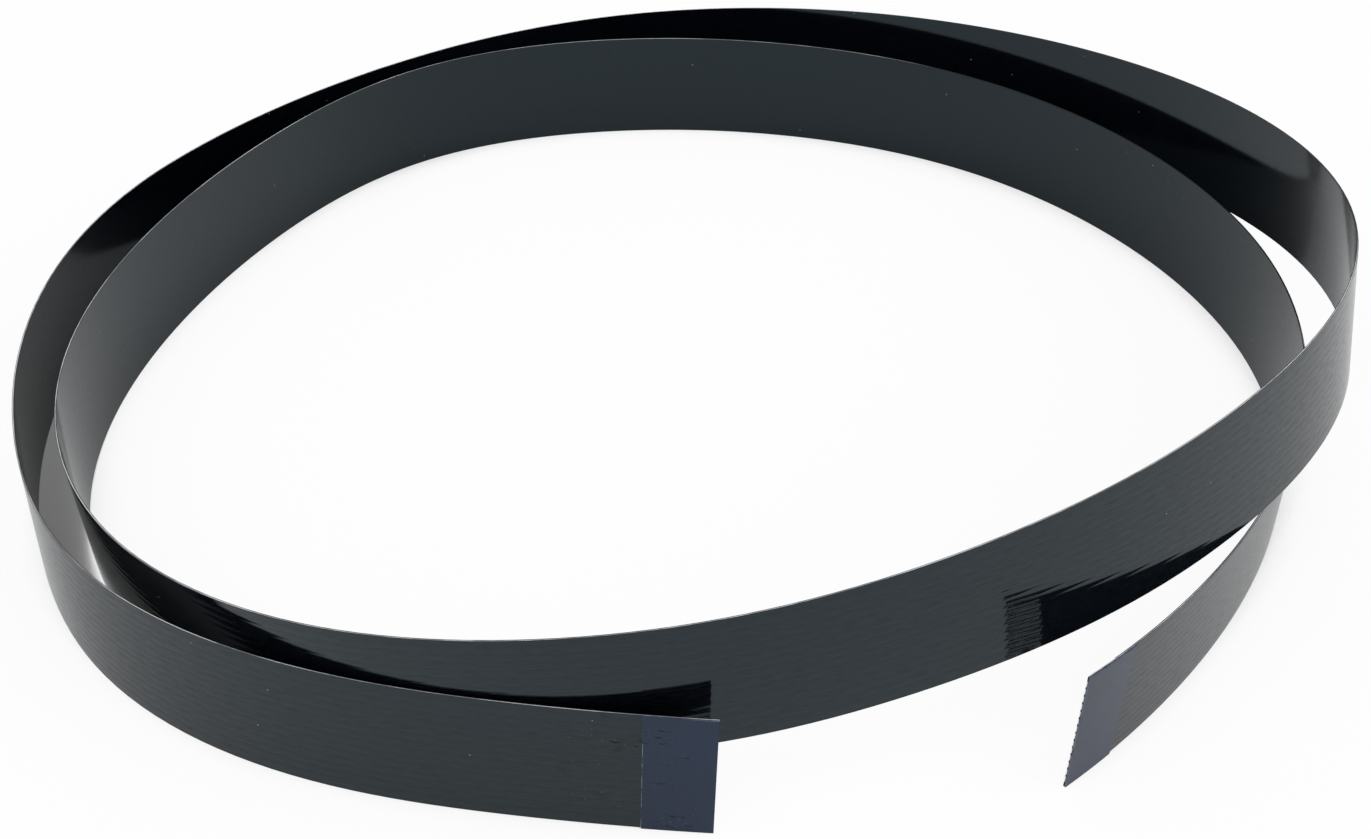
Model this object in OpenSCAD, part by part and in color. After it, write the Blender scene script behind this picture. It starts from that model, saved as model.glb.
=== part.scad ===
// Flat flex cable (FFC) with bare, stiffened ends, lying on its edge in two loose turns.
// A row of flat conductors is laminated between an outer and an inner film. The inner film
// stops short of both ends, which leaves bare contacts on the inner side, and a stiffener
// backs each end on the outer side. The cable stands on its lower edge on the floor, z = 0.
// Its raised turn passes over the far end, and rests there on the cable's top edge.
// All sizes are in millimetres, and all angles in degrees.

/* [Cable] */
// Length of the cable along its centre line
cable_length = 884; // [860:2:990]
// Distance between the centres of neighbouring conductors
pitch = 1; // [0.9:0.01:1.05]

/* [Conductors] */
// Width of each flat conductor
conductor_width = 0.7; // [0.5:0.05:0.75]
// Thickness of each flat conductor
conductor_thickness = 0.1; // [0.05:0.01:0.12]

/* [Films] */
// Thickness of the outer film over the conductors, with its adhesive
outer_cover = 0.06; // [0.05:0.01:0.1]
// Thickness of the inner film over the conductors, with its adhesive
inner_cover = 0.06; // [0.05:0.01:0.1]

/* [Ends] */
// Length of the bare contacts at each end
contact_length = 4; // [2:0.5:4.5]
// Length of the stiffener at each end
stiffener_length = 7; // [5:0.5:12]
// Thickness of each end as it enters a connector, stiffener included
end_thickness = 0.3; // [0.28:0.01:0.4]

/* [Lay] */
// Turn angle at which the cable starts, measured from the front towards the left
start_angle = -6.5; // [-10:0.5:0]

/* [Hidden] */

conductor_count = 14;
cable_width = (conductor_count + 1) * pitch;

// Levels through the cable's thickness, outwards from the middle of the conductors
conductor_top = conductor_thickness / 2;
conductor_foot = -conductor_thickness / 2;
outer_face = conductor_top + outer_cover;
inner_face = conductor_foot - inner_cover;
stiffener_face = conductor_foot + end_thickness;

// Centre of the turns on the floor, which brings the whole cable's box over the origin
turns_centre = [-4.9, -12];
// Angle round the turns' centre from one route point to the next
route_step = 20;

// Route points, one for each step, from one step before the start to two past the far end.
// A longer cable goes on round with the last point's values.
// Distance of the centre line from the turns' centre
route_radius = [
    67.5, 61, 60.5, 65.5, 71, 71, 72.5, 74.5, 74.5, 78, 84, 87.5, 88, 87, 85, 79, 69, 62.5,
    59, 59, 60.5, 64, 66, 66.5, 65.5, 65.5, 69, 76.5, 78, 80, 82.5, 82, 80, 75, 70, 68,
    69.5, 73
];
// Height of the lower edge over the floor, in percent of the cable's width. Where the raised
// turn crosses the far end, this is just over 100, so it rests on the far end's top edge.
route_lift = [
    0, 0, 0, 0, 0, 0, 0, 0, 0, 0, 4, 14, 32, 58, 86, 106, 104, 94,
    80, 64, 46, 28, 12, 4, 0, 0, 0, 0, 0, 0, 0, 0, 0, 0, 0, 0,
    0, 0
];
// Outward lean of the upper edge
route_lean = [
    1, 0, 0, -1, 2, 1, 0, -1, 0, 3, 4, 5, 5, 0, -6, -10, -11, -9,
    -4, -2, 1, 3, 7, 5, 5, 3, 0, -1, 1, 0, -1, 1, 0, -1, 1, 2,
    0, -4
];

// Number of equal slices between the two stiffeners
body_slices = 38;
// Share of a route step in which the route is measured, and the count that reaches the far end
measure_step = 0.05;
shortest_step = min(route_radius) * route_step * PI / 180;
measure_count = ceil(cable_length / (shortest_step * measure_step));

// Value of a route list at a point's number, which stays at the last one past the list's end
function route_value(values, k) = values[min(k, len(values) - 1)];

// Cubic B-spline along a list of route values, at position u counted in steps
function blend(values, u) =
    let (k = floor(u), f = u - k, g = 1 - f)
    (g * g * g * route_value(values, k)
        + (3 * f * f * f - 6 * f * f + 4) * route_value(values, k + 1)
        + (3 * g * g * g - 6 * g * g + 4) * route_value(values, k + 2)
        + f * f * f * route_value(values, k + 3)) / 6;

// Point of the centre line at position u
function route_point(u) =
    let (
        angle = start_angle + route_step * u,
        radius = blend(route_radius, u),
        edge = blend(route_lift, u) / 100 * cable_width,
        lean = blend(route_lean, u)
    )
    [
        turns_centre.x - radius * sin(angle),
        turns_centre.y - radius * cos(angle),
        edge + cable_width / 2 * cos(lean)
    ];

// Pairs of length along the route and position, from which lookup() finds a position
route_table = [
    for (
        i = 0, run = 0;
        i <= measure_count;
        run = run + norm(route_point((i + 1) * measure_step) - route_point(i * measure_step)),
        i = i + 1
    ) [run, i * measure_step]
];

function unit(vector) = vector / norm(vector);

// Frame of the cable at a length along it: centre, direction to its top edge, direction out
function cable_frame(run) =
    let (
        u = lookup(run, route_table),
        along = unit(route_point(u + measure_step / 2) - route_point(max(u - measure_step / 2, 0))),
        level = unit(cross([0, 0, 1], along)),
        upright = cross(along, level),
        lean = blend(route_lean, u)
    )
    [
        route_point(u),
        upright * cos(lean) + level * sin(lean),
        level * cos(lean) - upright * sin(lean)
    ];

// Lengths along the cable at which its cross-section is placed
slice_runs = concat(
    [0, contact_length],
    [
        for (i = [0 : body_slices])
            stiffener_length + (cable_length - 2 * stiffener_length) * i / body_slices
    ],
    [cable_length - contact_length, cable_length]
);
cable_frames = [for (run = slice_runs) cable_frame(run)];
last_slice = len(slice_runs) - 1;

// True where the way from one profile point to the next leads up the width, then outwards
function climbs(from, to) = to.x > from.x || (to.x == from.x && to.y > from.y);

// Solid that carries a profile from one slice of the cable to another. Profile points give
// the place across the width and the level through the thickness, and run anticlockwise.
// End cells are convex outlines, as profile point numbers, which tile the two end faces.
module laminate(profile, end_cells, first, last) {
    size = len(profile);
    points = [
        for (s = [first : last], p = profile)
            let (f = cable_frames[s]) f[0] + f[1] * p.x + f[2] * p.y
    ];
    sides = [
        for (s = [0 : last - first - 1], i = [0 : size - 1])
            let (
                j = (i + 1) % size,
                a = s * size + i,
                b = s * size + j,
                c = a + size,
                d = b + size
            )
            each climbs(profile[i], profile[j])
                ? [[a, b, d], [a, d, c]]
                : [[a, b, c], [b, d, c]]
    ];
    start_end = [for (cell = end_cells, k = [1 : len(cell) - 2]) [cell[0], cell[k + 1], cell[k]]];
    far_end = [
        for (cell = end_cells, k = [1 : len(cell) - 2])
            [for (v = [cell[0], cell[k], cell[k + 1]]) v + (last - first) * size]
    ];
    polyhedron(points, concat(sides, start_end, far_end));
}

// Places across the width: a conductor's two edges, and the middle of the web before it
function conductor_low(i) = -cable_width / 2 + pitch * (i + 1) - conductor_width / 2;
function conductor_high(i) = conductor_low(i) + conductor_width;
function web_place(i) =
    i == 0 ? -cable_width / 2 : i == conductor_count ? cable_width / 2 : -cable_width / 2 + pitch * (i + 0.5);

conductors = [0 : conductor_count - 1];
webs = [0 : conductor_count];

// Outer film, from its feet between the conductors to its face, with a channel for each
module outer_film() {
    profile = concat(
        [[-cable_width / 2, conductor_foot]],
        [
            for (i = conductors) each [
                [conductor_low(i), conductor_foot],
                [conductor_low(i), conductor_top],
                [conductor_high(i), conductor_top],
                [conductor_high(i), conductor_foot]
            ]
        ],
        [[cable_width / 2, conductor_foot]],
        [for (i = webs) [web_place(conductor_count - i), outer_face]]
    );
    far_foot = 4 * conductor_count + 1;
    face = len(profile) - 1;
    cells = concat(
        [[0, 1, 2, face]],
        [for (i = conductors) [face - i, 4 * i + 2, 4 * i + 3, face - i - 1]],
        [
            for (i = [0 : conductor_count - 2])
                [4 * i + 4, 4 * i + 5, 4 * i + 6, face - i - 1, 4 * i + 3]
        ],
        [[far_foot - 1, far_foot, far_foot + 1, far_foot - 2]]
    );
    color([0.11, 0.12, 0.13]) laminate(profile, cells, 0, last_slice);
}

// Inner film, stripped from the contacts at both ends
module inner_film() {
    profile = concat(
        [for (i = webs) [web_place(i), inner_face]],
        [[cable_width / 2, conductor_foot]],
        [
            for (i = conductors) each [
                [conductor_high(conductor_count - 1 - i), conductor_foot],
                [conductor_low(conductor_count - 1 - i), conductor_foot]
            ]
        ],
        [[-cable_width / 2, conductor_foot]]
    );
    foot = len(profile) - 1;
    cells = concat(
        [[0, foot - 1, foot]],
        [for (i = conductors) [i, i + 1, foot - 2 * i - 2, foot - 2 * i - 1]],
        [for (i = [1 : conductor_count - 1]) [i, foot - 2 * i - 1, foot - 2 * i]],
        [[conductor_count, conductor_count + 1, conductor_count + 2]]
    );
    color([0.09, 0.1, 0.11]) laminate(profile, cells, 1, last_slice - 1);
}

// One flat conductor of tinned copper, numbered from the lower edge
module conductor(number) {
    i = number - 1;
    profile = [
        [conductor_low(i), conductor_foot],
        [conductor_high(i), conductor_foot],
        [conductor_high(i), conductor_top],
        [conductor_low(i), conductor_top]
    ];
    color([0.78, 0.78, 0.76]) laminate(profile, [[0, 1, 2, 3]], 0, last_slice);
}

// Stiffener on the outer face between two slices
module stiffener(first, last) {
    profile = concat(
        [for (i = webs) [web_place(i), outer_face]],
        [[cable_width / 2, stiffener_face], [-cable_width / 2, stiffener_face]]
    );
    cell = [for (i = [0 : len(profile) - 1]) (i + len(profile) - 1) % len(profile)];
    color([0.18, 0.21, 0.31]) laminate(profile, [cell], first, last);
}

module stiffener_near() {
    stiffener(0, 2);
}

module stiffener_far() {
    stiffener(last_slice - 2, last_slice);
}

outer_film();
inner_film();
conductor(1);  // conductor_01
conductor(2);  // conductor_02
conductor(3);  // conductor_03
conductor(4);  // conductor_04
conductor(5);  // conductor_05
conductor(6);  // conductor_06
conductor(7);  // conductor_07
conductor(8);  // conductor_08
conductor(9);  // conductor_09
conductor(10);  // conductor_10
conductor(11);  // conductor_11
conductor(12);  // conductor_12
conductor(13);  // conductor_13
conductor(14);  // conductor_14
stiffener_near();
stiffener_far();
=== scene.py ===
"""Looks of a black flat flex cable that lies on its edge in two loose turns.

Every layer of the cable is modelled flat, with length along X, width along Y and level
through the thickness along Z, and is then laid along the cable's route. Lengths are in
metres and angles in degrees unless a name says otherwise.
"""

import logging
import math
from bisect import bisect_right
from dataclasses import dataclass, field
from enum import Enum
from typing import Callable, ClassVar, Sequence

import bmesh
import bpy
from mathutils import Matrix, Vector


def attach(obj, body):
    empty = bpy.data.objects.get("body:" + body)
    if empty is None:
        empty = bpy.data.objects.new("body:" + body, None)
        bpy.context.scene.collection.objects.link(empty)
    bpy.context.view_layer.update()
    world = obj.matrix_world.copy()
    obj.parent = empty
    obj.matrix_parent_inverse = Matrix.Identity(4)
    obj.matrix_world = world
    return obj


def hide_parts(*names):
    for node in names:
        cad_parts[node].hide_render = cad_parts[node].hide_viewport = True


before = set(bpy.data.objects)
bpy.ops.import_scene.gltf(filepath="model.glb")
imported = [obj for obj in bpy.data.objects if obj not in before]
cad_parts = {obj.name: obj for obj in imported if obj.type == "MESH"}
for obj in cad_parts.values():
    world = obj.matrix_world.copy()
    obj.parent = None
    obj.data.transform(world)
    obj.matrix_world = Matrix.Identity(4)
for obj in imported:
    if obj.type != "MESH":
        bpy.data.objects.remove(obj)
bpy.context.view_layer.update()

LOG = logging.getLogger("flat_flex_cable")
MM = 0.001
ROOT = "root"

# Name of the UV map that holds each point's place on the flat cable, in metres
FLAT_MAP = "flat"

# Red, green and blue, and the low and high end of a range
Rgb = tuple[float, float, float]
Span = tuple[float, float]


class End(Enum):
    """The two ends of the cable."""

    NEAR = "near"
    FAR = "far"


# --------------------------------------------------------------------------- cable sizes


@dataclass(frozen=True)
class CableSizes:
    """Real sizes of the cable's layers, across and through it.

    Levels through the thickness are counted outwards from the middle of the conductors.

    Attributes:
        length: Length of the cable.
        pitch: Distance between the middles of neighbouring conductors.
        conductor_count: How many conductors there are.
        conductor_width: Width of each conductor.
        conductor_thickness: Thickness of each conductor.
        outer_cover: Thickness of the outer film over the conductors.
        inner_cover: Thickness of the inner film over the conductors.
        contact_length: Length of the bare contacts at each end.
        stiffener_length: Length of the stiffener at each end.
        end_thickness: Thickness of each end, stiffener included.
        core_foot: Lowest level of the slit edges' pale core, partly a painted highlight.
        core_top: Highest level of that core.
        rib_height: Height of the outer film's ribs over the valleys between them.
    """

    length: float = 884 * MM
    pitch: float = 1.0 * MM
    conductor_count: int = 14
    conductor_width: float = 0.7 * MM
    conductor_thickness: float = 0.1 * MM
    outer_cover: float = 0.06 * MM
    inner_cover: float = 0.06 * MM
    contact_length: float = 4 * MM
    stiffener_length: float = 7 * MM
    end_thickness: float = 0.3 * MM
    core_foot: float = -0.03 * MM
    core_top: float = 0.045 * MM
    rib_height: float = 0.01 * MM

    @property
    def width(self) -> float:
        """Width of the whole cable."""
        return (self.conductor_count + 1) * self.pitch

    @property
    def conductor_top(self) -> float:
        """Level of the conductors' outer side."""
        return self.conductor_thickness / 2

    @property
    def conductor_foot(self) -> float:
        """Level of the conductors' inner side."""
        return -self.conductor_thickness / 2

    @property
    def outer_face(self) -> float:
        """Level of the outer film's face, on top of its ribs."""
        return self.conductor_top + self.outer_cover

    @property
    def inner_face(self) -> float:
        """Level of the inner film's face."""
        return self.conductor_foot - self.inner_cover

    @property
    def stiffener_face(self) -> float:
        """Level of the stiffeners' face."""
        return self.conductor_foot + self.end_thickness

    def conductor_place(self, number: int) -> float:
        """Place across the width of a conductor's middle, counted from 0 at the lower edge."""
        return (number + 1) * self.pitch - self.width / 2


# --------------------------------------------------------------------------- route


@dataclass(frozen=True)
class Section:
    """Frame of the cable at one place along it.

    Attributes:
        centre: Point on the cable's centre line.
        upward: Direction across the width, to the upper edge.
        outward: Direction through the thickness, away from the turns' centre.
    """

    centre: Vector
    upward: Vector
    outward: Vector

    def place(self, across: float, level: float) -> Vector:
        """Gives the point at a place across the width and a level through the thickness."""
        return self.centre + self.upward * across + self.outward * level


@dataclass
class Route:
    """The way that the cable lies: a smooth curve round the turns' centre.

    One route point stands at each step of the angle round the centre, from one step before
    the start to two past the far end, and a cubic B-spline runs along them.

    Attributes:
        width: Width of the cable.
        centre: Centre of the turns on the floor.
        start_angle: Angle at which the cable starts, from the front towards the left.
        step_angle: Angle from one route point to the next.
        radii: Distance of the centre line from the centre at each route point.
        lifts: Height of the lower edge over the floor at each.
        leans: Outward lean of the upper edge at each.
        measure_step: Share of a step in which the route is measured.
        lengths: Length along the route at each measure step.
        sections: Frames that are worked out already, by length in millimetres.
    """

    width: float
    centre: tuple[float, float] = (-0.0049, -0.012)
    start_angle: float = -6.5
    step_angle: float = 20
    radii: tuple[float, ...] = (
        0.0675, 0.061, 0.0605, 0.0655, 0.071, 0.071, 0.0725, 0.0745, 0.0745, 0.078,
        0.084, 0.0875, 0.088, 0.087, 0.085, 0.079, 0.069, 0.0625, 0.059, 0.059,
        0.0605, 0.064, 0.066, 0.0665, 0.0655, 0.0655, 0.069, 0.0765, 0.078, 0.08,
        0.0825, 0.082, 0.08, 0.075, 0.07, 0.068, 0.0695, 0.073,
    )
    lifts: tuple[float, ...] = (
        0, 0, 0, 0, 0, 0, 0, 0, 0, 0, 0.0006, 0.0021, 0.0048, 0.0087, 0.0129, 0.0159,
        0.0156, 0.0141, 0.012, 0.0096, 0.0069, 0.0042, 0.0018, 0.0006, 0, 0, 0, 0, 0,
        0, 0, 0, 0, 0, 0, 0, 0, 0,
    )
    leans: tuple[float, ...] = (
        1, 0, 0, -1, 2, 1, 0, -1, 0, 3, 4, 5, 5, 0, -6, -10, -11, -9, -4, -2,
        1, 3, 7, 5, 5, 3, 0, -1, 1, 0, -1, 1, 0, -1, 1, 2, 0, -4,
    )
    measure_step: float = 0.02
    lengths: list[float] = field(default_factory=list)
    sections: dict[float, Section] = field(default_factory=dict)

    def __post_init__(self) -> None:
        """Measures the route from its start, as far as four route points surround it."""
        steps = len(self.radii) - 3
        count = int(steps / self.measure_step)
        points = [self.point(i * self.measure_step) for i in range(count)]
        run = 0.0
        self.lengths.append(run)
        for before, after in zip(points, points[1:]):
            run += (after - before).length
            self.lengths.append(run)

    @staticmethod
    def blend(values: Sequence[float], position: float) -> float:
        """Gives the B-spline's value.

        Args:
            values: One value for each route point.
            position: Place along the route, counted in steps from the start.

        Returns:
            The value at that position.
        """
        first = int(math.floor(position))
        part = position - first
        rest = 1 - part
        weights = (
            rest**3,
            3 * part**3 - 6 * part**2 + 4,
            3 * rest**3 - 6 * rest**2 + 4,
            part**3,
        )
        return sum(w * values[first + i] for i, w in enumerate(weights)) / 6

    def point(self, position: float) -> Vector:
        """Gives a point of the centre line.

        Args:
            position: Place along the route, counted in steps from the start.

        Returns:
            The point there, half a width over the lower edge.
        """
        angle = math.radians(self.start_angle + self.step_angle * position)
        radius = self.blend(self.radii, position)
        lean = math.radians(self.blend(self.leans, position))
        return Vector((
            self.centre[0] - radius * math.sin(angle),
            self.centre[1] - radius * math.cos(angle),
            self.blend(self.lifts, position) + self.width / 2 * math.cos(lean),
        ))

    def position(self, run: float) -> float:
        """Finds a place on the route.

        Args:
            run: Length along the cable from its near end.

        Returns:
            The position there, counted in steps.
        """
        after = min(max(bisect_right(self.lengths, run), 1), len(self.lengths) - 1)
        low = self.lengths[after - 1]
        share = (run - low) / (self.lengths[after] - low)
        return (after - 1 + share) * self.measure_step

    def section(self, run: float) -> Section:
        """Gives the cable's frame.

        Args:
            run: Length along the cable from its near end.

        Returns:
            The frame there, worked out once for each length.
        """
        # Lengths that differ by less than rounding can make share one frame
        key = round(run / MM, 4)
        if key not in self.sections:
            position = max(self.position(run), 0.0)
            reach = self.measure_step / 2
            along = self.point(position + reach) - self.point(max(position - reach, 0.0))
            along.normalize()
            level = Vector((0, 0, 1)).cross(along).normalized()
            upright = along.cross(level)
            lean = math.radians(self.blend(self.leans, position))
            self.sections[key] = Section(
                self.point(position),
                upright * math.cos(lean) + level * math.sin(lean),
                level * math.cos(lean) - upright * math.sin(lean),
            )
        return self.sections[key]

    def centre_line(self, length: float, spacing: float = 5 * MM) -> list[Vector]:
        """Gives evenly spaced points of the centre line.

        Args:
            length: Length of the cable.
            spacing: About how far the points are apart.

        Returns:
            The points, from the near end to the far end.
        """
        count = round(length / spacing)
        return [self.section(length * i / count).centre for i in range(count + 1)]


# --------------------------------------------------------------------------- shader maths


class Value:
    """A shader socket that takes part in Python expressions."""

    def __init__(self, graph: "Graph", socket: bpy.types.NodeSocket) -> None:
        """Wraps a socket of a graph."""
        self.graph = graph
        self.socket = socket

    def _math(
        self, operation: str, *values: "Value | float", clamp: bool = False
    ) -> "Value":
        """Adds a Math node for an operation on values."""
        settings = {"operation": operation, "use_clamp": clamp}
        return self.graph.add("ShaderNodeMath", settings, dict(enumerate(values)))

    def __add__(self, other: "Value | float") -> "Value":
        """Adds another value."""
        return self._math("ADD", self, other)

    __radd__ = __add__

    def __sub__(self, other: "Value | float") -> "Value":
        """Takes another value away."""
        return self._math("SUBTRACT", self, other)

    def __rsub__(self, other: "Value | float") -> "Value":
        """Takes this value away from another."""
        return self._math("SUBTRACT", other, self)

    def __mul__(self, other: "Value | float") -> "Value":
        """Multiplies by another value."""
        return self._math("MULTIPLY", self, other)

    __rmul__ = __mul__

    def clamped(self) -> "Value":
        """Keeps this value between 0 and 1."""
        return self._math("ADD", self, 0.0, clamp=True)

    def between(self, low: float, high: float) -> "Value":
        """Gives a smooth rise from 0 to 1 as this value goes from low to high."""
        settings = {"interpolation_type": "SMOOTHSTEP"}
        return self.graph.add("ShaderNodeMapRange", settings, {0: self, 1: low, 2: high})


# A colour that varies, or red, green and blue
Colour = Value | Rgb


class Graph:
    """Node tree of one material or of the world."""

    # Numbers of the Mix node's sockets when it mixes colours, which share their names
    MIX_SHARE, MIX_LOW, MIX_HIGH, MIX_RESULT = 0, 6, 7, 2

    def __init__(self, tree: bpy.types.NodeTree) -> None:
        """Starts an empty graph."""
        self.tree = tree
        tree.nodes.clear()

    def add(
        self,
        kind: str,
        settings: dict[str, object] | None = None,
        inputs: dict[int | str, object] | None = None,
        output: int | str = 0,
    ) -> Value:
        """Adds a node.

        Args:
            kind: The node's type.
            settings: The node's own settings, which are made first.
            inputs: Values or links of its sockets, by name or number.
            output: Which of its outputs is given back.

        Returns:
            The chosen output, or the node's first input where it has no output.
        """
        node = self.tree.nodes.new(kind)
        for name, value in (settings or {}).items():
            setattr(node, name, value)
        for name, value in (inputs or {}).items():
            if isinstance(value, Value):
                self.tree.links.new(value.socket, node.inputs[name])
            else:
                node.inputs[name].default_value = value
        return Value(self, node.outputs[output] if node.outputs else node.inputs[0])

    def flat_place(self, scale: Sequence[float]) -> Value:
        """Gives the place on the flat cable, in metres times a scale along X and Y."""
        place = self.add("ShaderNodeUVMap", {"uv_map": FLAT_MAP})
        return self.add("ShaderNodeMapping", inputs={"Vector": place, "Scale": (*scale, 1)})

    def run(self) -> Value:
        """Gives the length along the flat cable, in metres."""
        place = self.add("ShaderNodeUVMap", {"uv_map": FLAT_MAP})
        return self.add("ShaderNodeSeparateXYZ", inputs={"Vector": place})

    def bump(self, height: Value) -> Value:
        """Gives the surface's normal over a height in metres."""
        inputs = {"Strength": 1.0, "Distance": 1.0, "Height": height}
        return self.add("ShaderNodeBump", inputs=inputs)

    def towards(self, direction: Rgb) -> Value:
        """Gives how far each place lies from the origin in a direction.

        Args:
            direction: The direction, of length 1.

        Returns:
            The distance in metres.
        """
        place = self.add("ShaderNodeTexCoord", output="Object")
        settings = {"operation": "DOT_PRODUCT"}
        return self.add("ShaderNodeVectorMath", settings, {0: place, 1: direction}, "Value")

    def mix(self, share: Value, low: Colour, high: Colour) -> Value:
        """Mixes two colours.

        Args:
            share: How much there is of the second colour, from 0 to 1.
            low: First colour, as a value or as numbers.
            high: Second colour.

        Returns:
            The mixed colour.
        """
        low, high = (c if isinstance(c, Value) else (*c, 1) for c in (low, high))
        inputs = {self.MIX_SHARE: share, self.MIX_LOW: low, self.MIX_HIGH: high}
        return self.add("ShaderNodeMix", {"data_type": "RGBA"}, inputs, self.MIX_RESULT)

    def mix_shaders(self, share: Value, low: Value, high: Value) -> Value:
        """Mixes two shaders by how much there is of the second, from 0 to 1."""
        return self.add("ShaderNodeMixShader", inputs={0: share, 1: low, 2: high})

    def surface(self, shader: Value) -> None:
        """Makes a shader the graph's surface."""
        self.add("ShaderNodeOutputMaterial", inputs={"Surface": shader})


def new_material(name: str) -> tuple[bpy.types.Material, Graph]:
    """Makes a material with nodes.

    Args:
        name: The material's name.

    Returns:
        The material and its empty graph.
    """
    material = bpy.data.materials.new(name)
    material.use_nodes = True
    return material, Graph(material.node_tree)


# --------------------------------------------------------------------------- finishes


@dataclass(frozen=True)
class Pattern:
    """Noise that follows the flat cable.

    Attributes:
        scale: Cycles for each metre along and across the cable.
        span: Range of the noise in which its mask goes from 0 to 1.
        detail: How many finer octaves are added.
        rough: How strong each octave is beside the one before.
    """

    scale: Span
    span: Span = (0.0, 1.0)
    detail: float = 2.0
    rough: float = 0.5

    def noise(self, graph: Graph) -> Value:
        """Adds the noise.

        Args:
            graph: Node tree of a material.

        Returns:
            The noise, from 0 to 1 and mostly near 0.5.
        """
        inputs = {
            "Vector": graph.flat_place(self.scale),
            "Scale": 1.0,
            "Detail": self.detail,
            "Roughness": self.rough,
        }
        return graph.add("ShaderNodeTexNoise", {"noise_dimensions": "2D"}, inputs)

    def mask(self, graph: Graph) -> Value:
        """Adds the noise and gives its mask."""
        return self.noise(graph).between(*self.span)


@dataclass(frozen=True)
class Dust:
    """Sparse dust specks, which lie in a few cells of a fine pattern.

    Attributes:
        scale: Cells for each metre along and across the cable.
        size: Radius of a speck, in cells, from its full middle to its rim.
        chance: Range of the cells' random values in which a cell holds a speck.
        colour: Colour of the specks.
        roughness: How much rougher they are than the film.
    """

    scale: Span = (600, 850)
    size: Span = (0.03, 0.06)
    chance: Span = (0.99, 0.995)
    colour: Rgb = (0.35, 0.36, 0.37)
    roughness: float = 0.5

    def mask(self, graph: Graph) -> Value:
        """Gives a mask of the specks.

        Args:
            graph: Node tree of the film's material.

        Returns:
            1 on a speck, and 0 beside it.
        """
        settings = {"voronoi_dimensions": "2D"}
        cells = {"Vector": graph.flat_place(self.scale), "Scale": 1.0}
        to_middle = graph.add("ShaderNodeTexVoronoi", settings, cells)
        tint = graph.add("ShaderNodeTexVoronoi", settings, cells, "Color")
        chance = graph.add("ShaderNodeSeparateColor", inputs={"Color": tint})
        return (1.0 - to_middle.between(*self.size)) * chance.between(*self.chance)


@dataclass(frozen=True)
class Handling:
    """Dull scuffs and pale chips at the near end, as handling leaves them.

    Attributes:
        reach: Lengths from the near end at which the marks start to fade and are gone.
        patch: Where the marks are.
        scuff: The scuffs.
        dullness: How dull they are.
        chip: The chips.
    """

    reach: Span = (9 * MM, 18 * MM)
    patch: Pattern = Pattern((240, 380), (0.5, 0.6))
    scuff: Pattern = Pattern((600, 3000), (0.58, 0.66), detail=4, rough=0.7)
    dullness: float = 0.7
    chip: Pattern = Pattern((3200, 6400), (0.76, 0.8))

    def masks(self, graph: Graph) -> tuple[Value, Value]:
        """Gives masks of the marks.

        Args:
            graph: Node tree of the film's material.

        Returns:
            The scuffs, as dull as they are, and the chips.
        """
        near = 1.0 - graph.run().between(*self.reach)
        patch = self.patch.mask(graph) * near
        return self.scuff.mask(graph) * patch * self.dullness, self.chip.mask(graph) * patch


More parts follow.
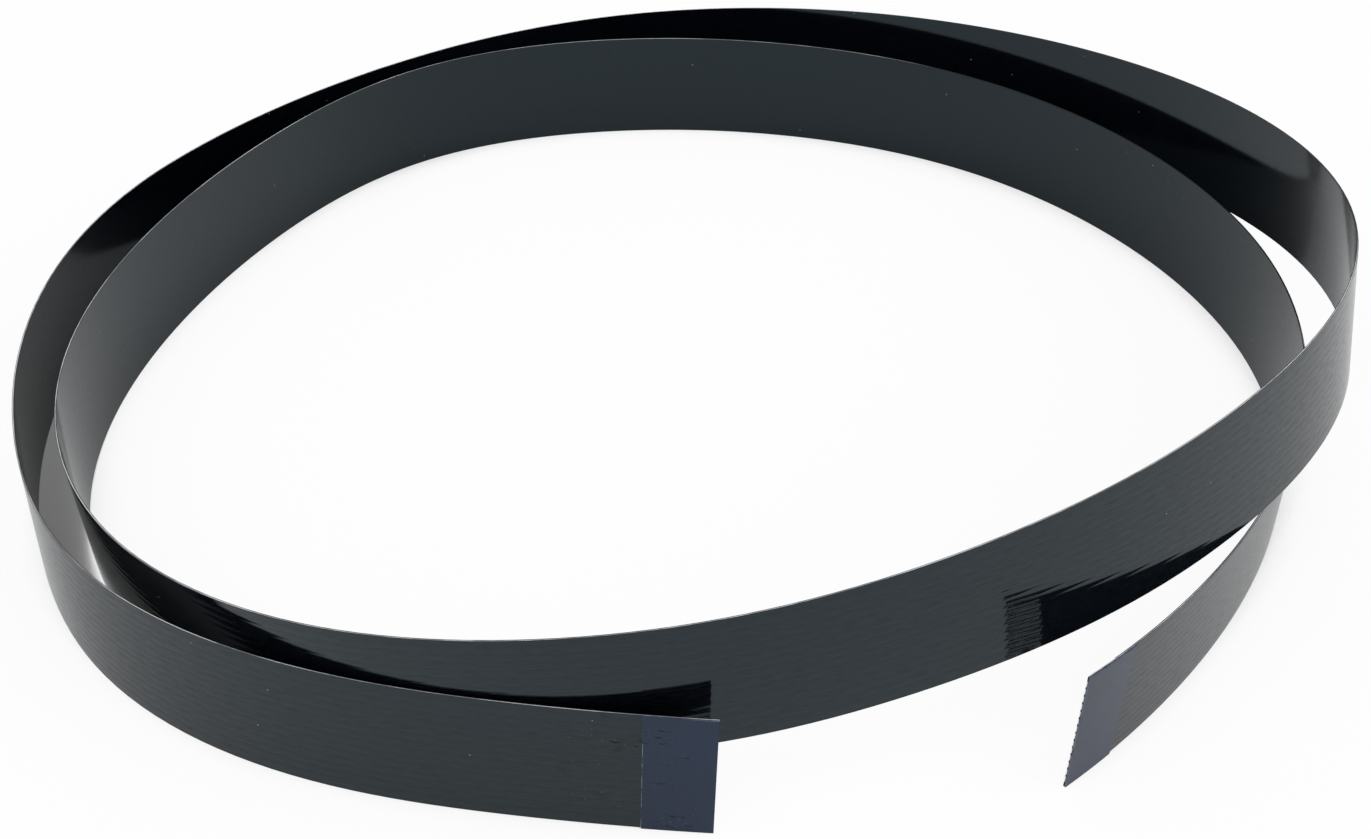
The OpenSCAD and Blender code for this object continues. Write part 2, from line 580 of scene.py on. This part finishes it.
@dataclass(frozen=True)
class GlossyFilm:
    """Black polyester film: near black inside, with a smooth cool skin, grain and dust.

    Attributes:
        name: The material's name.
        colour: Colour inside the film.
        roughness: Roughness of the clean skin.
        ior: Refractive index of the skin.
        dashes: How dull the fine dashes are that run along the film.
        dusty: Share of the dust that lies on the film.
        skin_tint: Tint of the skin's reflection where it is seen square on.
        rubbed: Colour of the places that are rubbed dull.
        rubbed_roughness: Their roughness.
        rubbed_gloss: Strength of their gloss.
        cloud: The slow waves.
        ripple: Their depth.
        streak: The fine lines, with the dashes as their mask.
        grain: Their depth.
        streak_roughness: How much rougher they are.
        cloud_share: Share of the waves in the film's tone, with the rest from the lines.
        tone: Range of those two in which the film goes from dark to lighter.
        lighter: How many times lighter the film gets, and what is added to its colour.
        dust: The specks on the film.
        handling: The marks at its near end.
    """

    name: str
    colour: Rgb
    roughness: float = 0.05
    ior: float = 1.5
    dashes: float = 0.18
    dusty: float = 1.0
    skin_tint: Rgb = (0.71, 0.92, 1.0)
    rubbed: Rgb = (0.003, 0.0035, 0.0045)
    rubbed_roughness: float = 0.7
    rubbed_gloss: float = 0.2
    cloud: Pattern = Pattern((25, 60))
    ripple: float = 0.01 * MM
    streak: Pattern = Pattern((600, 5000), (0.4, 0.7), detail=3)
    grain: float = 0.001 * MM
    streak_roughness: float = 0.03
    cloud_share: float = 0.4
    tone: Span = (0.3, 0.75)
    lighter: Span = (1.8, 0.0006)
    dust: Dust = Dust()
    handling: Handling = Handling()

    def material(self) -> bpy.types.Material:
        """Builds the film's material.

        Returns:
            A glossy film, mixed with a dull one where it is rubbed.
        """
        material, graph = new_material(self.name)
        cloud = self.cloud.noise(graph)
        streak = self.streak.noise(graph)
        scuff, chip = self.handling.masks(graph)
        speck = (self.dust.mask(graph) * self.dusty + chip).clamped()
        film = self.film_colour(graph, cloud, streak)
        rough = self.roughness + streak * self.streak_roughness + speck * self.dust.roughness
        glossy = graph.add(
            "ShaderNodeBsdfPrincipled",
            inputs={
                "Base Color": graph.mix(speck, film, self.dust.colour),
                "Roughness": rough.clamped(),
                "IOR": self.ior,
                "Specular Tint": (*self.skin_tint, 1),
                "Normal": graph.bump(cloud * self.ripple + streak * self.grain),
            },
        )
        rubbed = graph.add(
            "ShaderNodeBsdfPrincipled",
            inputs={
                "Base Color": (*self.rubbed, 1),
                "Roughness": self.rubbed_roughness,
                "Specular IOR Level": self.rubbed_gloss,
            },
        )
        dash = streak.between(*self.streak.span) * self.dashes
        graph.surface(graph.mix_shaders((scuff + dash).clamped(), glossy, rubbed))
        return material

    def film_colour(self, graph: Graph, cloud: Value, streak: Value) -> Value:
        """Varies the colour inside the film.

        Args:
            graph: Node tree of the film's material.
            cloud: Slow waves.
            streak: Fine lines.

        Returns:
            The film's colour, which is a little lighter on some waves and lines.
        """
        tone = cloud * self.cloud_share + streak * (1 - self.cloud_share)
        times, added = self.lighter
        lighter = tuple(times * part + added for part in self.colour)
        return graph.mix(tone.between(*self.tone), self.colour, lighter)


@dataclass(frozen=True)
class CutEdge:
    """Slit edge of one layer, with nicks whose pale colour is a painted highlight.

    Attributes:
        name: The material's name.
        colour: Colour between the nicks.
        paler: Colour of the nicks, a painted highlight.
        roughness: Roughness between the nicks.
        gloss: Strength of the edge's gloss.
        back_right_shade: Painted shade that darkens the edge towards the back right of the
            turns.
        shade_side: Direction from the origin to that side.
        shade_start: Distance in that direction at which the painted shade starts and is full.
        nick: The nicks.
        nick_roughness: How much rougher they are.
    """

    name: str
    colour: Rgb
    paler: Rgb
    roughness: float = 0.4
    gloss: float = 0.5
    back_right_shade: float = 0.0
    shade_side: Rgb = (0.87, 0.5, 0.0)
    shade_start: Span = (52 * MM, 62 * MM)
    nick: Pattern = Pattern((90, 300), (0.36, 0.62), detail=6, rough=0.7)
    nick_roughness: float = 0.1

    def material(self) -> bpy.types.Material:
        """Builds the edge's material.

        Returns:
            A material with painted highlight on the nicks and painted shade at the back right.
        """
        material, graph = new_material(self.name)
        nicks = self.nick.noise(graph)
        # Painted highlight: the nicks' paler colour stands for light caught along the edge
        bare = graph.mix(nicks.between(*self.nick.span), self.colour, self.paler)
        # Painted shade: the edge is darkened towards the back right, where it catches no light
        painted_shade = graph.towards(self.shade_side).between(*self.shade_start) * self.back_right_shade
        shaded_colour = tuple((1 - self.back_right_shade) * part for part in self.colour)
        shader = graph.add(
            "ShaderNodeBsdfPrincipled",
            inputs={
                "Base Color": graph.mix(painted_shade, bare, shaded_colour),
                "Roughness": self.roughness + nicks * self.nick_roughness,
                "Specular IOR Level": self.gloss,
            },
        )
        graph.surface(shader)
        return material


@dataclass(frozen=True)
class TinnedCopper:
    """Bright tin plating with fine lines along the conductor.

    Attributes:
        name: The material's name.
        colour: Colour of the plating.
        paler: Colour of its bright spots.
        roughness: Roughness between the lines.
        line: The fine lines.
        line_depth: Their depth.
        line_roughness: How much rougher they are.
        spot: The bright spots.
    """

    name: str = "tinned_copper"
    colour: Rgb = (0.72, 0.71, 0.68)
    paler: Rgb = (0.83, 0.82, 0.8)
    roughness: float = 0.08
    line: Pattern = Pattern((150, 24000), detail=3)
    line_depth: float = 0.00004 * MM
    line_roughness: float = 0.06
    spot: Pattern = Pattern((1500, 1500), (0.3, 0.7))

    def material(self) -> bpy.types.Material:
        """Builds the plating's material.

        Returns:
            A metal with fine lines and pale spots.
        """
        material, graph = new_material(self.name)
        line = self.line.noise(graph)
        shader = graph.add(
            "ShaderNodeBsdfPrincipled",
            inputs={
                "Base Color": graph.mix(self.spot.mask(graph), self.colour, self.paler),
                "Metallic": 1.0,
                "Roughness": self.roughness + line * self.line_roughness,
                "Normal": graph.bump(line * self.line_depth),
            },
        )
        graph.surface(shader)
        return material


@dataclass(frozen=True)
class StudioSurface:
    """White floor that keeps the object's shadow, and looks whiter to camera and mirror.

    Attributes:
        name: The material's name.
        colour: The floor's colour.
        camera_white: Share of plain white in what the camera sees of the open floor.
        gap_white: Share of plain white in what it sees of the floor in a narrow gap.
        mirror_white: Share of plain white in what a glossy or clear surface shows.
        shelter: Reach in which walls shelter the floor, which keeps narrow gaps dark.
        openness: Range of the open share of the sky from a gap to the open floor.
        samples: Rays that measure that share.
    """

    name: str = "studio_white"
    colour: Rgb = (0.9, 0.9, 0.9)
    camera_white: float = 0.92
    gap_white: float = 0.06
    mirror_white: float = 0.14
    shelter: float = 25 * MM
    openness: Span = (0.36, 0.54)
    samples: int = 16

    def material(self) -> bpy.types.Material:
        """Builds the floor's material.

        Returns:
            A plain floor, mixed with white where the camera or a mirror looks at it.
        """
        material, graph = new_material(self.name)
        plain = graph.add("ShaderNodeBsdfDiffuse", inputs={"Color": (*self.colour, 1)})
        white = graph.add("ShaderNodeEmission", inputs={"Color": (1, 1, 1, 1), "Strength": 1.0})
        open_floor = self.open_floor(graph)
        to_camera = open_floor * (self.camera_white - self.gap_white) + self.gap_white
        to_mirror = open_floor * self.mirror_white
        seen = camera_rays(graph) * to_camera + mirror_rays(graph) * to_mirror
        graph.surface(graph.mix_shaders(seen, plain, white))
        return material

    def open_floor(self, graph: Graph) -> Value:
        """Finds the open floor.

        Args:
            graph: Node tree of the floor's material.

        Returns:
            1 on the open floor, and less where walls stand close on both sides.
        """
        inputs = {"Distance": self.shelter}
        sky = graph.add("ShaderNodeAmbientOcclusion", {"samples": self.samples}, inputs, "AO")
        return sky.between(*self.openness)


def camera_rays(graph: Graph) -> Value:
    """Gives 1 for camera rays, and 0 for the rest."""
    return graph.add("ShaderNodeLightPath", output="Is Camera Ray")


def mirror_rays(graph: Graph) -> Value:
    """Gives 1 for rays from glossy and clear surfaces, and 0 for the rest.

    Args:
        graph: Node tree of a material or of the world.

    Returns:
        The mask of those rays.
    """
    glossy = graph.add("ShaderNodeLightPath", output="Is Glossy Ray")
    through = graph.add("ShaderNodeLightPath", output="Is Transmission Ray")
    return (glossy + through).clamped()


# --------------------------------------------------------------------------- flat modelling


@dataclass
class FlatLayer:
    """One layer of the cable, which is modelled flat and then laid along the route.

    Attributes:
        route: Where the cable lies.
        start: Length along the cable at which the layer starts.
        end: Length along the cable at which it ends.
        outline: Cross-section as points of width and level, in order.
        slice_length: Longest slice along the cable.
        core: Levels between which a slit edge shows a core, which is nowhere by default.
        crease: Angle over which an edge of the mesh is sharp.
    """

    route: Route
    start: float
    end: float
    outline: Sequence[tuple[float, float]]
    slice_length: float = 2.1 * MM
    core: Span = (0.0, 0.0)
    crease: float = 35

    # Numbers of the materials on a slit edge's core and on all other edges
    CORE_INDEX: ClassVar[int] = 1
    EDGE_INDEX: ClassVar[int] = 2

    # Part of a face's normal along an axis from which the face turns that way
    STEEP: ClassVar[float] = 0.5

    def build(self, name: str, materials: Sequence[bpy.types.Material]) -> bpy.types.Object:
        """Builds the layer.

        Args:
            name: The new object's name.
            materials: The face's material, and then those of the slit edge's core and of
                all other edges. The last one stands in for any that are left out.

        Returns:
            The layer's object, laid along the route.
        """
        flat = bmesh.new()
        corners = [flat.verts.new((self.start, y, z)) for y, z in self.outline]
        end_face = flat.faces.new(corners)
        grown = bmesh.ops.extrude_face_region(flat, geom=[end_face], use_keep_orig=True)
        moved = [part for part in grown["geom"] if isinstance(part, bmesh.types.BMVert)]
        bmesh.ops.translate(flat, verts=moved, vec=(self.end - self.start, 0, 0))
        long_edges = [e for e in flat.edges if e.verts[0].co.x != e.verts[1].co.x]
        cuts = math.ceil((self.end - self.start) / self.slice_length) - 1
        bmesh.ops.subdivide_edges(flat, edges=long_edges, cuts=cuts, use_grid_fill=False)
        bmesh.ops.recalc_face_normals(flat, faces=flat.faces)
        self.settle(flat, cuts + 1)
        self.shade(flat, len(materials) - 1)
        self.lay(flat)
        return as_object(flat, name, materials)

    def settle(self, flat: bmesh.types.BMesh, slices: int) -> None:
        """Puts the vertices on exact slices, and all parts of the mesh in order of place.

        The operators leave an order, and with it a rounding, that differs between runs.

        Args:
            flat: The flat mesh.
            slices: Number of slices along the layer.
        """
        step = (self.end - self.start) / slices
        for vert in flat.verts:
            vert.co.x = self.start + round((vert.co.x - self.start) / step) * step
        put_in_order(flat.verts, lambda vert: tuple(vert.co))
        for parts in (flat.edges, flat.faces):
            put_in_order(parts, lambda part: sorted(vert.index for vert in part.verts))

    def shade(self, flat: bmesh.types.BMesh, last_index: int) -> None:
        """Sets smooth faces, sharp creases, the flat map and the edges' materials.

        Args:
            flat: The flat mesh.
            last_index: Number of the layer's last material.
        """
        flat_map = flat.loops.layers.uv.new(FLAT_MAP)
        for face in flat.faces:
            face.smooth = True
            if abs(face.normal.z) < self.STEEP:
                in_core = self.core[0] < face.calc_center_median().z < self.core[1]
                slit = abs(face.normal.y) > self.STEEP
                index = self.CORE_INDEX if slit and in_core else self.EDGE_INDEX
                face.material_index = min(index, last_index)
            for loop in face.loops:
                loop[flat_map].uv = loop.vert.co.xy
        for edge in flat.edges:
            if edge.is_manifold and edge.calc_face_angle() > math.radians(self.crease):
                edge.smooth = False

    def lay(self, flat: bmesh.types.BMesh) -> None:
        """Moves a flat mesh to its place along the route.

        Args:
            flat: The mesh, with length along X, width along Y and level along Z.
        """
        for vert in flat.verts:
            run, across, level = vert.co
            vert.co = self.route.section(run).place(across, level)


@dataclass
class SteppedLayer(FlatLayer):
    """A layer whose face falls back at the step to the cable.

    Attributes:
        step_face: Level of the layer's face.
        step_run: Length along the cable at which the step is.
        slant: Length over which the face falls back there.
    """

    step_face: float = 0.0
    step_run: float = 0.0
    slant: float = 0.05 * MM

    def shade(self, flat: bmesh.types.BMesh, last_index: int) -> None:
        """Shades the layer, with a core's material on its step as a painted highlight.

        Args:
            flat: The flat mesh.
            last_index: Number of the layer's last material.
        """
        super().shade(flat, last_index)
        for face in flat.faces:
            if abs(face.calc_center_median().x - self.step_run) < self.slant:
                face.material_index = self.CORE_INDEX

    def lay(self, flat: bmesh.types.BMesh) -> None:
        """Slants the step, and moves the flat mesh to its place along the route.

        Args:
            flat: The mesh, with length along X, width along Y and level along Z.
        """
        middle = (self.start + self.end) / 2
        inward = math.copysign(self.slant, middle - self.step_run)
        for vert in flat.verts:
            at_step = abs(vert.co.x - self.step_run) < self.slant
            if at_step and abs(vert.co.z - self.step_face) < self.slant / 2:
                vert.co.x += inward
        super().lay(flat)


def put_in_order(
    parts: bmesh.types.BMVertSeq | bmesh.types.BMEdgeSeq | bmesh.types.BMFaceSeq,
    place: Callable,
) -> None:
    """Sorts a mesh's vertices, edges or faces, and numbers them anew.

    Args:
        parts: The mesh's vertices, edges or faces.
        place: Gives what each of them is sorted by.
    """
    ranks = {part: rank for rank, part in enumerate(sorted(parts, key=place))}
    parts.sort(key=ranks.get)
    parts.index_update()


def as_object(
    mesh: bmesh.types.BMesh, name: str, materials: Sequence[bpy.types.Material]
) -> bpy.types.Object:
    """Makes a linked object from a bmesh.

    Args:
        mesh: The shape, which is freed.
        name: The object's name.
        materials: Its materials, in the order of its faces' indices.

    Returns:
        The new object.
    """
    data = bpy.data.meshes.new(name)
    mesh.to_mesh(data)
    mesh.free()
    for material in materials:
        data.materials.append(material)
    made = bpy.data.objects.new(name, data)
    bpy.context.scene.collection.objects.link(made)
    return made


# --------------------------------------------------------------------------- the cable


@dataclass
class Films:
    """The outer film with its ribs and the smooth inner film.

    Attributes:
        sizes: The cable's sizes.
        route: Where the cable lies.
        outer_finish: Finish of the outer film.
        inner_finish: Finish of the inner film.
        core_and_highlight_edge: Pale adhesive core of the slit edges, partly painted highlight.
        skin_edge: Finish of both films' dark skins there.
        rib_stations: Places of one rib's points from a conductor's middle, in pitches.
    """

    sizes: CableSizes
    route: Route
    outer_finish: GlossyFilm = GlossyFilm(
        "outer_film_gloss", (0.001, 0.0016, 0.003), ior=1.53
    )
    inner_finish: GlossyFilm = GlossyFilm(
        "inner_film_gloss", (0.001, 0.0016, 0.003), roughness=0.07, ior=1.48, dashes=0.08
    )
    # Pale adhesive core, painted paler as the edge's highlight and dark at the back right as
    # shade
    core_and_highlight_edge: CutEdge = CutEdge(
        "adhesive_and_highlight_edge", (0.26, 0.27, 0.29), (0.72, 0.74, 0.77), gloss=0.2, back_right_shade=1.0
    )
    skin_edge: CutEdge = CutEdge(
        "film_edge", (0.002, 0.002, 0.003), (0.01, 0.011, 0.013), roughness=0.5, gloss=0.15
    )
    rib_stations: tuple[float, ...] = (
        -0.5, -0.47, -0.42, -0.34, -0.24, -0.12, 0.0, 0.12, 0.24, 0.34, 0.42, 0.47,
    )

    def rib_level(self, station: float) -> float:
        """Gives the outer face's level at a share of the pitch from a conductor's middle."""
        return self.sizes.outer_face - self.sizes.rib_height * (2 * station) ** 2

    def rib_line(self) -> list[tuple[float, float]]:
        """Gives the outer face's cross-section.

        Returns:
            Its points of width and level, from the lower edge to the upper.
        """
        sizes = self.sizes
        valley = self.rib_level(-0.5)
        line = [(-sizes.width / 2, valley)]
        for i in range(sizes.conductor_count):
            middle = sizes.conductor_place(i)
            line += [(middle + s * sizes.pitch, self.rib_level(s)) for s in self.rib_stations]
        last = sizes.conductor_place(sizes.conductor_count - 1)
        return line + [(last + sizes.pitch / 2, valley), (sizes.width / 2, valley)]

    def channel_line(self) -> list[tuple[float, float]]:
        """Gives the outer film's underside, with its channels.

        Returns:
            Its points of width and level, from the lower edge to the upper.
        """
        sizes = self.sizes
        half = sizes.conductor_width / 2
        line = [(-sizes.width / 2, sizes.conductor_foot)]
        for i in range(sizes.conductor_count):
            middle = sizes.conductor_place(i)
            line += [
                (middle - half, sizes.conductor_foot),
                (middle - half, sizes.conductor_top),
                (middle + half, sizes.conductor_top),
                (middle + half, sizes.conductor_foot),
            ]
        return line + [(sizes.width / 2, sizes.conductor_foot)]

    def build(self) -> tuple[bpy.types.Object, bpy.types.Object]:
        """Builds both films and sets them in the frame.

        Returns:
            The outer film and the inner film.
        """
        sizes = self.sizes
        half = sizes.width / 2
        core_and_highlight_edge, skin_edge = self.core_and_highlight_edge.material(), self.skin_edge.material()
        core = (sizes.core_foot, sizes.core_top)
        outline = self.channel_line() + [(half, level) for level in core]
        outline += self.rib_line()[::-1] + [(-half, level) for level in core[::-1]]
        outer = FlatLayer(self.route, 0.0, sizes.length, outline, core=core).build(
            "outer_film_dressed", [self.outer_finish.material(), core_and_highlight_edge, skin_edge]
        )
        sheet = [
            (-half, sizes.inner_face),
            (half, sizes.inner_face),
            (half, sizes.conductor_foot),
            (-half, sizes.conductor_foot),
        ]
        start, end = sizes.contact_length, sizes.length - sizes.contact_length
        inner = FlatLayer(self.route, start, end, sheet).build(
            "inner_film_dressed", [self.inner_finish.material(), skin_edge]
        )
        for piece, node in ((outer, "outer_film"), (inner, "inner_film")):
            set_in_frame(piece, node)
        return outer, inner


@dataclass
class Conductors:
    """The flat tinned conductors, which end in bare contacts.

    Attributes:
        sizes: The cable's sizes.
        route: Where the cable lies.
        finish: Finish of the conductors.
    """

    sizes: CableSizes
    route: Route
    finish: TinnedCopper = TinnedCopper()

    def build(self) -> list[bpy.types.Object]:
        """Builds every conductor and sets it in the frame.

        Returns:
            The conductors, from the lower edge up.
        """
        material = self.finish.material()
        pieces = []
        for i in range(self.sizes.conductor_count):
            piece = FlatLayer(self.route, 0.0, self.sizes.length, self.outline(i)).build(
                f"conductor_{i + 1:02d}_dressed", [material]
            )
            set_in_frame(piece, f"conductor_{i + 1:02d}")
            pieces.append(piece)
        return pieces

    def outline(self, number: int) -> list[tuple[float, float]]:
        """Gives a conductor's cross-section.

        Args:
            number: The conductor, counted from 0 at the lower edge.

        Returns:
            Its corners as points of width and level.
        """
        sizes = self.sizes
        middle = sizes.conductor_place(number)
        low, high = middle - sizes.conductor_width / 2, middle + sizes.conductor_width / 2
        return [
            (low, sizes.conductor_foot),
            (high, sizes.conductor_foot),
            (high, sizes.conductor_top),
            (low, sizes.conductor_top),
        ]


@dataclass
class Stiffener:
    """One of the two navy strips that back the contacts on the outer side.

    Attributes:
        sizes: The cable's sizes.
        route: Where the cable lies.
        end: The end that it backs.
        rib_line: Cross-section of the outer film's face, which it sits on.
        finish: Finish of its face.
        step_highlight_finish: Finish of its step to the cable, with painted highlight.
        edge_finish: Finish of its other edges.
        slice_length: Longest slice along it.
    """

    sizes: CableSizes
    route: Route
    end: End
    rib_line: Sequence[tuple[float, float]]
    finish: GlossyFilm
    step_highlight_finish: CutEdge
    edge_finish: CutEdge
    slice_length: float = 0.5 * MM

    def build(self) -> bpy.types.Object:
        """Builds the strip and sets it in the frame.

        Returns:
            The strip's object.
        """
        sizes = self.sizes
        half, face = sizes.width / 2, sizes.stiffener_face
        near = self.end is End.NEAR
        first = 0.0 if near else sizes.length - sizes.stiffener_length
        last = first + sizes.stiffener_length
        layer = SteppedLayer(
            self.route,
            first,
            last,
            [*self.rib_line, (half, face), (-half, face)],
            self.slice_length,
            step_face=face,
            step_run=last if near else first,
        )
        finishes = (self.finish, self.step_highlight_finish, self.edge_finish)
        piece = layer.build(
            f"stiffener_{self.end.value}_dressed", [finish.material() for finish in finishes]
        )
        set_in_frame(piece, f"stiffener_{self.end.value}")
        return piece


def set_in_frame(piece: bpy.types.Object, node: str) -> None:
    """Makes a piece ride on the part and stand for a CAD node, whose part it hides.

    Args:
        piece: The dressed piece.
        node: The CAD node that it stands for.
    """
    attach(piece, ROOT)
    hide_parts(node)
    LOG.info("%s stands for %s, with %d faces", piece.name, node, len(piece.data.polygons))


@dataclass
class Cable:
    """The whole flat flex cable.

    Attributes:
        sizes: The cable's sizes.
        route: Where it lies.
        navy: Finish of the stiffeners' faces.
        step: Finish of their steps to the cable, with painted highlight on its nicks.
        edge: Finish of their other edges.
    """

    sizes: CableSizes
    route: Route
    navy: GlossyFilm = GlossyFilm(
        "stiffener_navy", (0.003, 0.006, 0.026), roughness=0.08, dashes=0.1, dusty=0.0
    )
    # Painted highlight: the step's pale nicks stand for the light line that it catches
    step: CutEdge = CutEdge("stiffener_step_highlight", (0.03, 0.04, 0.08), (0.42, 0.46, 0.54))
    edge: CutEdge = CutEdge(
        "stiffener_edge", (0.03, 0.04, 0.07), (0.12, 0.14, 0.2), roughness=0.5
    )

    def build(self) -> None:
        films = Films(self.sizes, self.route)
        outer, inner = films.build()
        conductors = Conductors(self.sizes, self.route).build()
        finishes = (self.navy, self.step, self.edge)
        stiffeners = [
            Stiffener(self.sizes, self.route, end, films.rib_line(), *finishes).build()
            for end in End
        ]
        line = self.route.centre_line(self.sizes.length)


# --------------------------------------------------------------------------- studio


@dataclass
class Camera:
    """Camera that looks down on the turns from the front.

    Attributes:
        target: Point on the floor that it looks at.
        distance: How far it is from there.
        elevation: Angle from which it looks down.
        roll: Turn about its own line of sight, anticlockwise.
        focal_length: Focal length in millimetres.
        sensor_width: Width of its sensor in millimetres.
        shift: Shift of the frame to the right and up, in widths of the frame.
        clip_start: Nearest distance that it sees.
    """

    target: tuple[float, float, float]
    distance: float = 0.2384
    elevation: float = 37.135
    roll: float = 1.267
    focal_length: float = 51.95
    sensor_width: float = 36.0
    shift: tuple[float, float] = (0.02674, 0.01592)
    clip_start: float = 10 * MM

    def build(self) -> None:
        """Makes the camera and gives it to the scene."""
        data = bpy.data.cameras.new("camera")
        data.sensor_fit = "HORIZONTAL"
        data.sensor_width = self.sensor_width
        data.lens = self.focal_length
        data.shift_x, data.shift_y = self.shift
        data.clip_start = self.clip_start
        camera = bpy.data.objects.new("camera", data)
        rise = math.radians(self.elevation)
        backwards = Vector((0, -math.cos(rise), math.sin(rise)))
        place = Vector(self.target) + self.distance * backwards
        tilt = Matrix.Rotation(math.pi / 2 - rise, 4, "X")
        turn = Matrix.Rotation(math.radians(self.roll), 4, "Z")
        camera.matrix_world = Matrix.Translation(place) @ tilt @ turn
        bpy.context.scene.collection.objects.link(camera)
        bpy.context.scene.camera = camera


@dataclass(frozen=True)
class Lamp:
    """Square lamp that faces the origin.

    Attributes:
        name: The lamp's name.
        place: Where it hangs.
        size: Its side.
        power: Its power in watts.
    """

    name: str
    place: tuple[float, float, float]
    size: float
    power: float

    def build(self) -> None:
        """Hangs the lamp in the scene."""
        data = bpy.data.lights.new(self.name, "AREA")
        data.shape = "SQUARE"
        data.size = self.size
        data.energy = self.power
        lamp = bpy.data.objects.new(self.name, data)
        aim = (-Vector(self.place)).to_track_quat("-Z", "Y")
        lamp.matrix_world = Matrix.Translation(self.place) @ aim.to_matrix().to_4x4()
        bpy.context.scene.collection.objects.link(lamp)


@dataclass
class Studio:
    """Plain white floor, soft lamps and an even white surround.

    Attributes:
        floor_reach: How far the floor reaches from the origin.
        floor_gap: How far it lies under the cable's edge.
        floor_finish: Its finish.
        surround: Strength of the surround's light on the object.
        lamps: The lamps.
    """

    floor_reach: float = 2.0
    floor_gap: float = 0.02 * MM
    floor_finish: StudioSurface = StudioSurface()
    surround: float = 0.62
    lamps: tuple[Lamp, ...] = (
        Lamp("key_lamp", (-0.5, -0.35, 0.9), 0.7, 3.5),
        Lamp("fill_lamp", (0.7, -0.2, 0.7), 0.6, 2.6),
    )

    def build(self) -> None:
        """Builds the floor, the lamps and the world."""
        self.build_floor()
        for lamp in self.lamps:
            lamp.build()
        self.build_world()
        bpy.context.scene.view_settings.view_transform = "Standard"

    def build_floor(self) -> None:
        """Lays the floor just under the cable's edge."""
        plane = bmesh.new()
        bmesh.ops.create_grid(plane, x_segments=1, y_segments=1, size=self.floor_reach)
        bmesh.ops.translate(plane, verts=plane.verts, vec=(0, 0, -self.floor_gap))
        as_object(plane, "floor", [self.floor_finish.material()])

    def build_world(self) -> None:
        """Makes the surround, which is white to camera and mirror and softer as light."""
        world = bpy.data.worlds.new("surround")
        world.use_nodes = True
        bpy.context.scene.world = world
        graph = Graph(world.node_tree)
        seen = camera_rays(graph) + mirror_rays(graph)
        strength = self.surround + seen * (1 - self.surround)
        inputs = {"Color": (1, 1, 1, 1), "Strength": strength}
        light = graph.add("ShaderNodeBackground", inputs=inputs)
        graph.add("ShaderNodeOutputWorld", inputs={"Surface": light})


def main() -> None:
    """Builds the camera, the cable and the studio, in that order."""
    logging.basicConfig(level=logging.INFO, format="%(name)s: %(message)s")
    sizes = CableSizes()
    route = Route(sizes.width)
    Camera((*route.centre, 0.0)).build()
    Cable(sizes, route).build()
    Studio().build()


if __name__ == "__main__":
    main()
